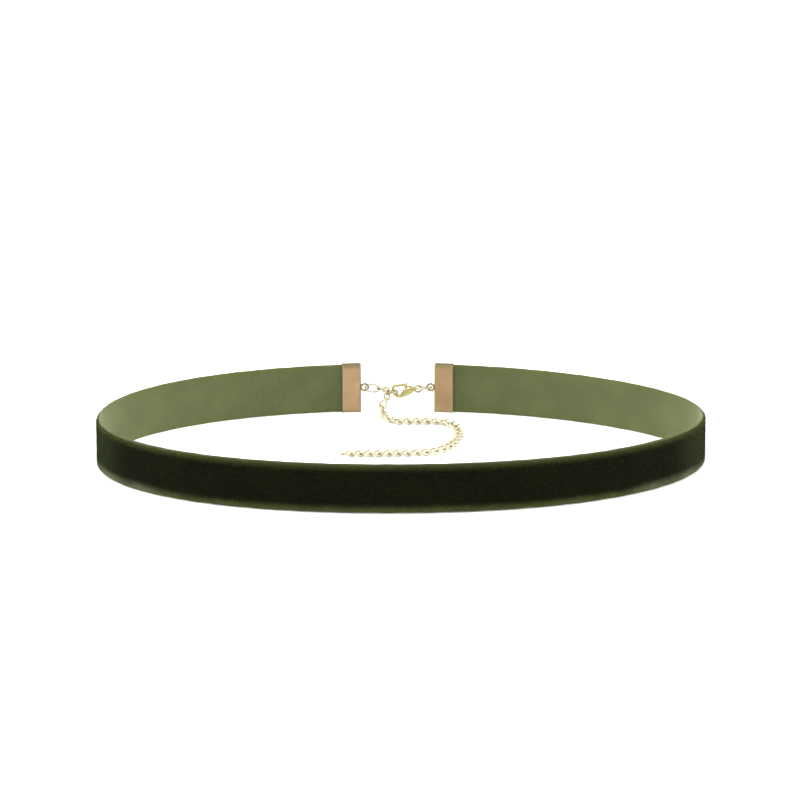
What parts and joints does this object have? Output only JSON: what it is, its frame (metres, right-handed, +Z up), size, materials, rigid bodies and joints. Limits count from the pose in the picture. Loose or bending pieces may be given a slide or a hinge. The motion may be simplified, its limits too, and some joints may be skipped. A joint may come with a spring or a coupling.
{
  "type": "choker necklace",
  "caption": "Velvet ribbon choker with folded metal end crimps, jump rings, a lobster clasp with a sprung lever and a twisted curb extender chain",
  "frame": {"origin": "middle of the choker's box, on the surface that the ribbon's lower edge stands on", "axes": "+X along the long way of the oval loop, +Y to the clasp, +Z up"},
  "size_m": [0.151, 0.0766, 0.0127],
  "materials": {
    "velvet": "dark olive green velvet pile on a lighter woven back",
    "crimp_metal": "satin rose gold plating",
    "ring_metal": "polished pale gold plating",
    "clasp_metal": "polished yellow gold plating",
    "chain_metal": "polished pale gold plating"
  },
  "bodies": {
    "choker": {"velvet_ribbon": "velvet", "crimp_left": "crimp_metal", "crimp_right": "crimp_metal", "jump_ring_left": "ring_metal", "jump_ring_right": "ring_metal", "clasp_body": "clasp_metal", "clasp_pin": "clasp_metal", "chain_link_01": "chain_metal", "chain_link_02": "chain_metal", "chain_link_03": "chain_metal", "chain_link_04": "chain_metal", "chain_link_05": "chain_metal", "chain_link_06": "chain_metal", "chain_link_07": "chain_metal", "chain_link_08": "chain_metal", "chain_link_09": "chain_metal", "chain_link_10": "chain_metal", "chain_link_11": "chain_metal", "chain_link_12": "chain_metal", "chain_link_13": "chain_metal", "chain_link_14": "chain_metal", "chain_link_15": "chain_metal", "chain_link_16": "chain_metal", "chain_link_17": "chain_metal", "chain_link_18": "chain_metal", "chain_link_19": "chain_metal", "chain_link_20": "chain_metal", "chain_link_21": "chain_metal", "chain_link_22": "chain_metal", "chain_link_23": "chain_metal", "chain_link_24": "chain_metal", "chain_link_25": "chain_metal", "chain_link_26": "chain_metal", "chain_link_27": "chain_metal", "chain_link_28": "chain_metal", "chain_link_29": "chain_metal", "chain_link_30": "chain_metal", "chain_link_31": "chain_metal", "chain_link_32": "chain_metal", "chain_link_33": "chain_metal"},
    "lever": {"clasp_lever": "clasp_metal"}
  },
  "joints": [
    {"name": "clasp_lever_hinge", "type": "hinge", "parent": "choker", "child": "lever", "pos_m": [0.0019, 0.03621, 0.00605], "axis": [0, -1, 0], "range_deg": [0, 15], "stiffness_Nm_per_rad": 0.001}
  ]
}
